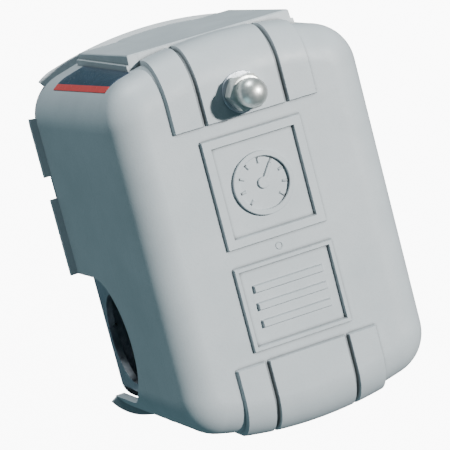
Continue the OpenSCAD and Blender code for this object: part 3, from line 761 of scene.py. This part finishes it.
def cover_shell_mesh():
    """Closed shell: detailed outer skin, plain inner skin, and the rim between them."""
    bm = bmesh.new()
    rings = []
    for z, relief in wall_rows():
        rings.append(ring_of(bm, [wall_point(c, z, relief) for c in COLUMNS]))
    for i in range(FILLET_STEPS + 1):
        rings.append(ring_of(bm, [rounded_point(c, i) for c in COLUMNS]))
    bridge_rings(bm, rings)
    front_face(bm, rings[-1])
    inner_r = FRONT_ROUND - CASE_WALL
    inner = [inner_ring(bm, RIM_Z, 0.0), inner_ring(bm, SHOULDER_Z, 0.0)]
    for i in range(1, FILLET_STEPS + 1):
        angle = math.pi / 2 * i / FILLET_STEPS
        z = SHOULDER_Z + inner_r * math.sin(angle)
        inner.append(inner_ring(bm, z, inner_r * (1 - math.cos(angle))))
    bridge_rings(bm, inner)
    bm.faces.new(inner[-1])
    bridge_rings(bm, [rings[0], inner[0]])
    return mesh_of("cover_shell", bm)


def cutter(name, bm):
    """A throwaway solid used to cut another piece."""
    cutting = bpy.data.objects.new(name, mesh_of(name, bm))
    bpy.context.collection.objects.link(cutting)
    return cutting


def prism_along_x(bm, outline, x0, x1):
    """Closed prism between x0 and x1 from a (y, z) outline."""
    first = ring_of(bm, [(x0, y, z) for y, z in outline])
    last = ring_of(bm, [(x1, y, z) for y, z in outline])
    bridge_rings(bm, [first, last])
    cap_ends(bm, [first, last])


def cut_mesh(mesh, cutters):
    """Cuts solids out of a mesh and returns the new mesh; the cutters are removed."""
    target = bpy.data.objects.new("cutting_target", mesh)
    bpy.context.collection.objects.link(target)
    for cutting in cutters:
        modifier = target.modifiers.new("cut", "BOOLEAN")
        modifier.operation = "DIFFERENCE"
        modifier.solver = "MANIFOLD"
        modifier.object = cutting
    depsgraph = bpy.context.evaluated_depsgraph_get()
    result = bpy.data.meshes.new_from_object(target.evaluated_get(depsgraph))
    for thing in [target] + cutters:
        bpy.data.objects.remove(thing, do_unlink=True)
    return result


CONDUIT = [m for m in frame["record"]["mounts"] if m["name"] == "conduit_left"][0]
CONDUIT_Y = CONDUIT["pos_m"][1] / MM
CONDUIT_Z = CONDUIT["pos_m"][2] / MM
ARCH_GAP = 4.6
ARCH_SHIFT_Y = 0.7
ARCH_SHIFT_Z = 0.3
ARCH_R = CONDUIT["dims"]["r_mm"] + ARCH_GAP
ARCH_Y = CONDUIT_Y + ARCH_SHIFT_Y
ARCH_Z = CONDUIT_Z + ARCH_SHIFT_Z
ARCH_STEP = 4            # degrees
ARCH_CUT_DEPTH = 5
ARCH_CUT_PAST = 20
nut_low, nut_high = node_box("cover_nut")
STUD_Y = (nut_low.y + nut_high.y) / 2
STUD_HOLE_R = 2.4
STUD_HOLE_DEPTH = 10
STUD_HOLE_PAST = 5
STUD_HOLE_SIDES = 48


def build_cover():
    """The cover's shell with the two conduit arches and the stud's hole cut out."""
    outline = [(ARCH_Y - ARCH_R, RIM_Z - ARCH_CUT_DEPTH)]
    for degrees in range(180, -1, -ARCH_STEP):
        a = math.radians(degrees)
        outline.append((ARCH_Y + ARCH_R * math.cos(a), ARCH_Z + ARCH_R * math.sin(a)))
    outline.append((ARCH_Y + ARCH_R, RIM_Z - ARCH_CUT_DEPTH))
    arches = bmesh.new()
    prism_along_x(arches, outline, -HALF_W - ARCH_CUT_PAST, HALF_W + ARCH_CUT_PAST)
    low = FRONT_Z - STUD_HOLE_DEPTH
    high = FRONT_Z + STUD_HOLE_PAST
    hole = bmesh.new()
    lathe(hole, [(0, low), (STUD_HOLE_R, low), (STUD_HOLE_R, high), (0, high)],
          Vector((0, STUD_Y, 0)), STUD_HOLE_SIDES)
    shell = cut_mesh(cover_shell_mesh(), [cutter("arches", arches), cutter("hole", hole)])
    piece = finish_piece("cover_shell", shell, "cover", SHELL_SHARP)
    weigh_normals(piece, keep_sharp=True)
    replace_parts(piece, "cover")


# The notched flange round the rim, and the gaps in it as (from, to) along Y.
FLANGE_T = 1.2
FLANGE_EASE = 0.18
FLANGE_ROOT = 0.6
FLANGE_GAPS = [(33.4, 39.8), (13.7, 19.2)]
SIDE_END_Y = 30.0        # where the straight side's last column stands
CORNER_START_Y = 33.0    # strips that end past this also go round the corner
FINE_CORNER_STEPS = 40


def rim_strip(bm, columns):
    """One length of the rim flange between two of its gaps, closed at both ends."""
    z0 = RIM_Z
    z1 = RIM_Z + FLANGE_T
    profile = [
        (-FLANGE_ROOT, z0), (FLANGE_OUT - FLANGE_EASE, z0), (FLANGE_OUT, z0 + FLANGE_EASE),
        (FLANGE_OUT, z1 - FLANGE_EASE), (FLANGE_OUT - FLANGE_EASE, z1), (-FLANGE_ROOT, z1),
    ]
    sections = []
    for column in columns:
        plan, out = outline_point(column, RIM_Z, 0.0)
        points = [(plan + out * reach, z) for reach, z in profile]
        sections.append(ring_of(bm, [(p.x, p.y + CASE_Y, z) for p, z in points]))
    bridge_rings(bm, sections)
    cap_ends(bm, sections)


def fine_corner(x_sign, y_sign, keep):
    """Closely spaced columns round one corner, those whose place along Y passes a test."""
    steps = range(FINE_CORNER_STEPS + 1)
    columns = [("corner", x_sign, y_sign, i / FINE_CORNER_STEPS) for i in steps]
    return [c for c in columns if keep(outline_point(c, RIM_Z, 0.0)[0].y)]


def side_strip_columns(side, low, high):
    """From one gap along a side to the next, which may lie round the corner."""
    if high <= CORNER_START_Y:
        return [("side", side, low), ("side", side, high)]
    corner = fine_corner(side, 1, lambda y: y < high)
    return [("side", side, low), ("side", side, SIDE_END_Y)] + corner


def end_strip_columns(end, gap):
    """From the last gap on one side, round one end of the case, to that on the other."""
    first = fine_corner(end, end, lambda y: y * end > gap * end)
    last = fine_corner(-end, end, lambda y: y * end > gap * end)
    return first + [("bow", end, x) for x in GRID_X[::-end]] + last[::-1]


def build_rim():
    """The notched flange round the rim, in six lengths."""
    arch_mid = ARCH_Y - CASE_Y
    gaps = sorted([(arch_mid - ARCH_R, arch_mid + ARCH_R)] + FLANGE_GAPS)
    edges = [edge for gap in gaps for edge in gap]
    bm = bmesh.new()
    for side in (1, -1):
        for low, high in zip(edges[1::2], edges[2::2]):
            rim_strip(bm, side_strip_columns(side, low, high))
    rim_strip(bm, end_strip_columns(1, edges[-1]))
    rim_strip(bm, end_strip_columns(-1, edges[0]))
    piece_from("cover_rim", bm, "cover", RIM_SHARP)


# The plain dial on the upper plaque, the ribs on the lower one and the mark between them.
SUNK = 0.3               # how far each relief reaches into the face it stands on
RELIEF_H = PLAQUE_H * 0.9
RING_EASE = 0.14
BAR_EASE = 0.16
BAR_FOOT = 0.1
DIAL_R = 2 * PLAQUE_HALF * 0.3
DIAL_RING_W = 1.2
DIAL_SIDES = 72
HUB = ((0, -SUNK), (1.3, -SUNK), (1.3, 0.4), (1.16, 0.55), (0, 0.55))
HUB_SIDES = 36
TICKS = 9
TICK_START = 225         # degrees
TICK_SWEEP = 270         # degrees
TICK_INSET = 2.1
TICK = (1.2, 0.45, 0.35)       # length, width, height
NEEDLE_ANGLE = 55        # degrees
NEEDLE_INSET = 2.6
NEEDLE_W = 0.9
NEEDLE_H = 0.5
RIB_INSET = 3.6
RIB_PITCH = 4.0
RIB_W = 1.6
MARK = (0.55, 0.95, 0.18)      # inner radius, outer radius, height
MARK_SIDES = 32


def ring_relief(bm, centre, inner, outer, height, sides):
    """Raised ring with eased edges, sunk a little into the face it stands on."""
    lathe(bm, [
        (inner, -SUNK), (outer, -SUNK), (outer, height - RING_EASE), (outer - RING_EASE, height),
        (inner + RING_EASE, height), (inner, height - RING_EASE),
    ], centre, sides)


def bar_relief(bm, matrix, length, width, height):
    """Raised bar with eased top edges along its local X, centred on the matrix."""
    rings = []
    for z, grow in ((-SUNK, BAR_FOOT), (0.0, BAR_FOOT), (height - BAR_EASE, 0.0),
                    (height, -BAR_EASE)):
        half_x = length / 2 + grow
        half_y = width / 2 + grow
        corners = [(half_x, half_y), (-half_x, half_y), (-half_x, -half_y), (half_x, -half_y)]
        rings.append(ring_of(bm, [matrix @ Vector((x, y, z)) for x, y in corners]))
    bridge_rings(bm, rings)
    cap_ends(bm, rings)


def turned_place(centre, angle, reach):
    """A frame that stands at a distance from a centre, with its X pointing away from it."""
    out = Vector((math.cos(angle), math.sin(angle), 0))
    return Matrix.Translation(centre + out * reach) @ Matrix.Rotation(angle, 4, "Z")


def build_emblems():
    """Plain gauge dial on the upper plaque and three ribs on the lower one."""
    bm = bmesh.new()
    dial = Vector((0, CASE_Y + sum(UPPER_PLAQUE) / 2, FRONT_Z))
    ring_relief(bm, dial, DIAL_R - DIAL_RING_W, DIAL_R, RELIEF_H, DIAL_SIDES)
    lathe(bm, HUB, dial, HUB_SIDES)
    for i in range(TICKS):
        angle = math.radians(TICK_START - TICK_SWEEP * i / (TICKS - 1))
        bar_relief(bm, turned_place(dial, angle, DIAL_R - TICK_INSET), *TICK)
    reach = DIAL_R - NEEDLE_INSET
    needle = turned_place(dial, math.radians(NEEDLE_ANGLE), reach / 2)
    bar_relief(bm, needle, reach, NEEDLE_W, NEEDLE_H)
    lower_y = CASE_Y + sum(LOWER_PLAQUE) / 2
    for i in (-1, 0, 1):
        place = Matrix.Translation((0, lower_y + RIB_PITCH * i, FRONT_Z))
        bar_relief(bm, place, 2 * (PLAQUE_HALF - RIB_INSET), RIB_W, RELIEF_H)
    mark_y = CASE_Y + (UPPER_PLAQUE[0] + LOWER_PLAQUE[1]) / 2
    ring_relief(bm, Vector((0, mark_y, FRONT_Z)), *MARK, MARK_SIDES)
    piece_from("cover_emblems", bm, "cover", TURNED_SHARP)


# The corner film of painted reflection and shade: from a little past the corner to where it ends
# on the corner's curve.
FILM_EDGE_X = -20.45
FILM_END = 0.66         # share of the corner's curve
FILM_STEPS = 16
FILM_ROWS = 8
FILM_LOW = 9.5
FILM_HIGH = 0.8
FILM_OUT = 0.16
FILM_IN = -0.15
STRIPE_COLUMNS = 7


def build_corner_painted_film():
    """Thin film wrapped round one upright corner, coloured with painted light: a dark field of
    painted shade and dark reflection, and one red stripe of painted reflection.
    """
    low_z = RIM_Z + FILM_LOW
    high_z = SHOULDER_Z - FILM_HIGH
    columns = [("bow", 1, FILM_EDGE_X)]
    for i in range(FILM_STEPS + 1):
        columns.append(("corner", -1, 1, FILM_END + (1 - FILM_END) * (1 - i / FILM_STEPS)))
    rows = [low_z + (high_z - low_z) * i / FILM_ROWS for i in range(FILM_ROWS + 1)]
    bm = bmesh.new()

    def film_ring(z, lift):
        points = []
        for column in columns:
            plan, out = outline_point(column, z, 0.0)
            plan = plan + out * lift
            points.append((plan.x, plan.y + CASE_Y, z))
        return ring_of(bm, points)

    outer = [film_ring(z, FILM_OUT) for z in rows]
    inner = [film_ring(z, FILM_IN) for z in rows]
    bridge_rings(bm, outer, close_rings=False)
    bridge_rings(bm, inner, close_rings=False)
    for k in range(FILM_ROWS):
        for end in (0, -1):
            bm.faces.new([outer[k][end], outer[k + 1][end], inner[k + 1][end], inner[k][end]])
    for k in (0, -1):
        for c in range(len(columns) - 1):
            bm.faces.new([outer[k][c], outer[k][c + 1], inner[k][c + 1], inner[k][c]])
    # The tagged faces take the dark field of painted shade and dark reflection; the last columns
    # keep the red stripe of painted reflection.
    for row in outer + inner:
        for vertex in row[:-STRIPE_COLUMNS]:
            vertex.tag = True
    for face in bm.faces:
        face.material_index = 1 if any(v.tag for v in face.verts) else 0
    mesh = mesh_of("corner_label_film", bm)
    mesh.materials.append(MATERIALS["label_film"])
    mesh.materials.append(PAINTED_DARK_FIELD)
    piece = finish_piece("corner_label_film", mesh, "corner_label", TURNED_SHARP)
    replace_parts(piece, "corner_label")


build_cover()
build_rim()
build_emblems()
build_corner_painted_film()

# ---------------------------------------------------------------- nuts

NUT_FACE_SHARE = 0.955
CHAMFER_ANGLE = 30       # degrees
NUT_CORNER_R = 0.35
BORE_EASE = 0.35
NUT_STEPS = 6
NUT_SIDES = 120

CAP_ACROSS = 7.6
CAP_HEX_SHARE = 0.42
CAP_BORE_R = 2.12
CAP_BORE_SHOULDER = 6.9
CAP_BORE_TIP = 7.5
DOME_R = 3.25
DOME_END = 88            # degrees
DOME_STEPS = 22
NECK_IN = 0.12
NECK_STEPS = ((-NECK_IN, 0.35), (0.04 - NECK_IN, 0.5), (0.0, 0.7))

RANGE_STUD_R = 3.175
DIFF_STUD_R = 2.415
BORE_GAP = 0.05


def hex_reach(angle, half_af, round_r):
    """Distance from a hexagon's centre to its side in the direction of an angle."""
    sector = (angle + math.pi / 6) % (math.pi / 3) - math.pi / 6
    return half_af / math.cos(sector) - round_r * (1 / math.cos(sector) - 1)


def nut_mesh(bm, centre, across, height, bore_r, turn=0.0):
    """Hexagon nut: chamfered corners, countersunk bore and eased edges."""
    half = across / 2
    face_r = half * NUT_FACE_SHARE
    slope = math.tan(math.radians(CHAMFER_ANGLE))
    rings = []

    def add_ring(radius_at, height_at):
        points = []
        for i in range(NUT_SIDES):
            angle = 2 * math.pi * i / NUT_SIDES
            r = radius_at(angle)
            direction = Vector((math.cos(angle + turn), math.sin(angle + turn), 0))
            points.append(centre + direction * r + Vector((0, 0, height_at(r))))
        rings.append(ring_of(bm, points))

    def low(r):
        return max(0.0, (r - face_r) * slope)

    def high(r):
        return height - low(r)

    def side_ring(step, height_at):
        share = step / NUT_STEPS
        add_ring(lambda a: face_r + (hex_reach(a, half, NUT_CORNER_R) - face_r) * share, height_at)

    add_ring(lambda a: bore_r, lambda r: BORE_EASE)
    add_ring(lambda a: bore_r + BORE_EASE, lambda r: 0.0)
    add_ring(lambda a: face_r, low)
    for step in range(1, NUT_STEPS + 1):
        side_ring(step, low)
    for step in range(NUT_STEPS, 0, -1):
        side_ring(step, high)
    add_ring(lambda a: face_r, high)
    add_ring(lambda a: bore_r + BORE_EASE, lambda r: height)
    add_ring(lambda a: bore_r, lambda r: height - BORE_EASE)
    rings.append(rings[0])
    bridge_rings(bm, rings)


def build_cap_nut():
    """Domed nut: chamfered hexagon, neck and polished dome."""
    height = nut_high.z - nut_low.z
    hex_h = CAP_HEX_SHARE * height
    centre = Vector((0, STUD_Y, nut_low.z))
    bm = bmesh.new()
    nut_mesh(bm, centre, CAP_ACROSS, hex_h, CAP_BORE_R, turn=math.pi / 6)
    profile = [(CAP_BORE_R, hex_h / 2), (DOME_R - NECK_IN, hex_h / 2)]
    profile += [(DOME_R + dr, hex_h + dz) for dr, dz in NECK_STEPS]
    profile += arc(0, height - DOME_R, DOME_R, 0, DOME_END, DOME_STEPS)
    profile += [(0.0, height), (0.0, CAP_BORE_TIP), (CAP_BORE_R, CAP_BORE_SHOULDER)]
    lathe(bm, profile, centre)
    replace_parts(piece_from("cap_nut_fine", bm, "cover_nut", TURNED_SHARP), "cover_nut")


def build_plain_nut(node, bore_r):
    """A hexagon nut where its CAD node is."""
    low, high = node_box(node)
    across = min(high.x - low.x, high.y - low.y)
    centre = Vector(((low.x + high.x) / 2, (low.y + high.y) / 2, low.z))
    bm = bmesh.new()
    nut_mesh(bm, centre, across, high.z - low.z, bore_r)
    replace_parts(piece_from(node + "_fine", bm, node, TURNED_SHARP), node)


build_cap_nut()
build_plain_nut("range_nut", RANGE_STUD_R + BORE_GAP)
build_plain_nut("stud_nut", RANGE_STUD_R + BORE_GAP)
build_plain_nut("diff_nut", DIFF_STUD_R + BORE_GAP)

# ---------------------------------------------------------------- studs and springs

RANGE_PITCH = 1.27
DIFF_PITCH = 0.794
TIP_R = 2.085
TIP_PITCH = 0.794
TIP_ROOT = 1.5           # how far the tip's thread starts inside the thick one
SHOULDER_GAP = 0.1

THREAD_DEPTH = 0.55      # share of the pitch
THREAD_FLANK = 1.3
THREAD_CREST = 0.15
THREAD_ROWS = 8          # to each turn
THREAD_SIDES = 28
ROD_CHAMFER = 0.6

END_TURN = 0.75          # of each spring, closed and lying flat
WIRE_SIDES = 12
COIL_STEPS = 30          # to each turn


def threaded_rod(bm, x, y, z0, z1, radius, pitch):
    """Rod with a real helical thread and chamfered ends."""
    rows = int((z1 - z0) / pitch * THREAD_ROWS)
    rings = []
    for k in range(rows + 1):
        z = z0 + (z1 - z0) * k / rows
        from_end = min(z - z0, z1 - z)
        points = []
        for i in range(THREAD_SIDES):
            angle = 2 * math.pi * i / THREAD_SIDES
            phase = ((z - z0) / pitch - i / THREAD_SIDES) % 1.0
            flank = abs(2 * phase - 1)
            cut = THREAD_DEPTH * pitch * min(1.0, max(0.0, flank * THREAD_FLANK - THREAD_CREST))
            r = min(radius - cut, radius - ROD_CHAMFER + from_end)
            points.append((x + r * math.cos(angle), y + r * math.sin(angle), z))
        rings.append(ring_of(bm, points))
    bridge_rings(bm, rings)
    cap_ends(bm, rings)


def build_range_stud():
    """The thick stud with its thinner tip, which goes through the cover."""
    low, high = node_box("range_stud")
    shoulder = FRONT_Z - CASE_WALL - SHOULDER_GAP
    bm = bmesh.new()
    threaded_rod(bm, 0, STUD_Y, low.z, shoulder, RANGE_STUD_R, RANGE_PITCH)
    threaded_rod(bm, 0, STUD_Y, shoulder - TIP_ROOT, high.z, TIP_R, TIP_PITCH)
    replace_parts(piece_from("range_stud_fine", bm, "range_stud", WOUND_SHARP), "range_stud")


def build_diff_stud():
    """The thin stud, threaded all along."""
    low, high = node_box("diff_stud")
    middle = (low + high) / 2
    bm = bmesh.new()
    threaded_rod(bm, middle.x, middle.y, low.z, high.z, DIFF_STUD_R, DIFF_PITCH)
    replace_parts(piece_from("diff_stud_fine", bm, "diff_stud", WOUND_SHARP), "diff_stud")


def coil(bm, centre, radius, wire, turns, length, start=0.0, end=1.0):
    """Part of a compression spring with closed, flat-lying end turns, from start to end."""
    total = int(turns * COIL_STEPS)
    wire_r = wire / 2
    free_turns = turns - 2 * END_TURN
    rings = []
    for k in range(round(start * total), round(end * total) + 1):
        turn = k / COIL_STEPS
        rise = min(max((turn - END_TURN) / free_turns, 0.0), 1.0)
        z = wire_r + min(turn, END_TURN) / END_TURN * wire_r + rise * (length - 2 * wire)
        z += max(0.0, turn - turns + END_TURN) / END_TURN * wire_r
        angle = 2 * math.pi * turn
        out = Vector((math.cos(angle), math.sin(angle), 0))
        spot = centre + out * (radius - wire_r) + Vector((0, 0, z))
        ring = []
        for i in range(WIRE_SIDES):
            a = 2 * math.pi * i / WIRE_SIDES
            around = out * (wire_r * math.cos(a)) + Vector((0, 0, wire_r * math.sin(a)))
            ring.append(spot + around)
        rings.append(ring_of(bm, ring))
    bridge_rings(bm, rings)
    cap_ends(bm, rings)


def spring_piece(name, node, turns, wire, start=0.0, end=1.0):
    """A spring where its CAD stand-in is, or the part of it from start to end."""
    low, high = node_box(node)
    centre = Vector(((low.x + high.x) / 2, (low.y + high.y) / 2, low.z))
    radius = (high.x - low.x) / 2
    bm = bmesh.new()
    coil(bm, centre, radius, wire, turns, high.z - low.z, start, end)
    piece = piece_from(name, bm, node, WOUND_SHARP)
    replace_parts(piece, node)
    return piece


def build_adjusting_spring(node, turns, wire):
    """One spring in two halves, each with a mesh of its own; the lower half meets the lever, the
    upper half the seat.
    """
    lower = spring_piece(node + "_lower", node, turns, wire, end=0.5)
    upper = spring_piece(node + "_upper", node, turns, wire, start=0.5)
    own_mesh(lower)
    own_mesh(upper)


def build_bridge_springs(turns, wire):
    """The two small springs under the contact bridges, in one piece."""
    low, high = node_box("bridge_springs")
    radius = (high.y - low.y) / 2
    bm = bmesh.new()
    for x in (low.x + radius, high.x - radius):
        centre = Vector((x, (low.y + high.y) / 2, low.z))
        coil(bm, centre, radius, wire, turns, high.z - low.z)
    piece = piece_from("bridge_springs_coil", bm, "bridge_springs", WOUND_SHARP)
    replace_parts(piece, "bridge_springs")


build_range_stud()
build_diff_stud()
build_adjusting_spring("range_spring", turns=7.0, wire=2.1)
build_adjusting_spring("diff_spring", turns=7.0, wire=1.3)
spring_piece("toggle_spring_coil", "toggle_spring", turns=8.0, wire=0.6)
build_bridge_springs(turns=4.0, wire=0.5)

# ---------------------------------------------------------------- eased CAD parts

EASED = {    # how wide each copy's edges are rounded, in millimetres
    "cover_washer": 0.12,
    "base_plate": 0.3,
    "port_fitting": 0.25,
    "pressure_flange": 0.4,
    "piston_guide": 0.4,
    "diaphragm": 0.15,
    "flange_screws": 0.25,
    "piston": 0.3,
    "lever": 0.3,
    "lever_pin": 0.3,
    "pin_clips": 0.1,
    "range_seat": 0.2,
    "diff_seat": 0.2,
    "contact_bracket": 0.25,
    "bracket_rivets": 0.3,
    "contact_block": 0.3,
    "block_screws": 0.3,
    "fixed_contacts": 0.15,
    "terminal_clamps": 0.25,
    "terminal_screws": 0.3,
    "contact_carrier": 0.3,
    "carrier_pin": 0.2,
    "contact_bridges": 0.15,
    "ground_screws": 0.25,
}
for eased_node, eased_width in EASED.items():
    soften(eased_node, eased_width)

# ---------------------------------------------------------------- floor and lights

FLOOR_SIZE = 4.0
FLOOR_DROP = 0.25
FLOOR_SQUARES = 8
PAPER_DARK = (0.88, 0.885, 0.89)
PAPER_LIGHT = (0.90, 0.90, 0.90)
WORLD_TINT = (0.50, 0.86, 1.0, 1.0)
WORLD_STRENGTH = 0.15
LIGHTS = {    # direction from the object, distance, size, power, colour
    "key": ((0.55, 0.25, 1.0), 2.5, 0.11, 150.0, (1.0, 0.975, 0.95)),
    "top": ((-0.15, 0.98, 0.02), 1.2, 0.4, 15.0, (0.92, 0.98, 1.0)),
    "side": ((-0.75, -0.6, 0.0), 1.5, 0.9, 4.2, (0.55, 0.92, 1.0)),
}
BACKDROP_SIZE = 2.4
BACKDROP_POWER = 170.0
BACKDROP_PLACE = (0.0, 0.0, -0.04)


def build_floor():
    """A white ground some way below the object, which neither lights it nor shows in it."""
    bm = bmesh.new()
    bmesh.ops.create_grid(bm, x_segments=FLOOR_SQUARES, y_segments=FLOOR_SQUARES, size=FLOOR_SIZE)
    mesh = bpy.data.meshes.new("floor")
    bm.to_mesh(mesh)
    bm.free()
    floor = bpy.data.objects.new("floor", mesh)
    bpy.context.collection.objects.link(floor)
    floor.location.z = CAD_BOX[0].z - FLOOR_DROP
    m = Nodes("floor_paper")
    m.colour(m.blend(m.span(m.noise(60.0)), PAPER_DARK, PAPER_LIGHT))
    m.rough(m.span(m.noise(30.0), low=0.75, high=0.85))
    mesh.materials.append(m.material)
    floor.visible_diffuse = False
    floor.visible_glossy = False


def area_light(name, size, power, colour, place):
    """A soft square light, facing down until it is turned."""
    data = bpy.data.lights.new(name, "AREA")
    data.size = size
    data.energy = power
    data.color = colour
    light = bpy.data.objects.new(name, data)
    bpy.context.collection.objects.link(light)
    light.location = place
    return light


def build_lights():
    """The lights round the object, and one below it that lights only the ground."""
    for name, (direction, distance, size, power, colour) in LIGHTS.items():
        toward = Vector(direction).normalized()
        light = area_light(name, size, power, colour, VIEW_TARGET + toward * distance)
        light.rotation_mode = "QUATERNION"
        light.rotation_quaternion = (-toward).to_track_quat("-Z", "Y")
    area_light("backdrop", BACKDROP_SIZE, BACKDROP_POWER, (1.0, 1.0, 1.0), BACKDROP_PLACE)


def build_world():
    """A weak blue-green light from all round."""
    world = bpy.data.worlds.new("studio")
    bpy.context.scene.world = world
    world.use_nodes = True
    background = world.node_tree.nodes["Background"]
    background.inputs["Color"].default_value = WORLD_TINT
    background.inputs["Strength"].default_value = WORLD_STRENGTH


build_floor()
build_world()
build_lights()
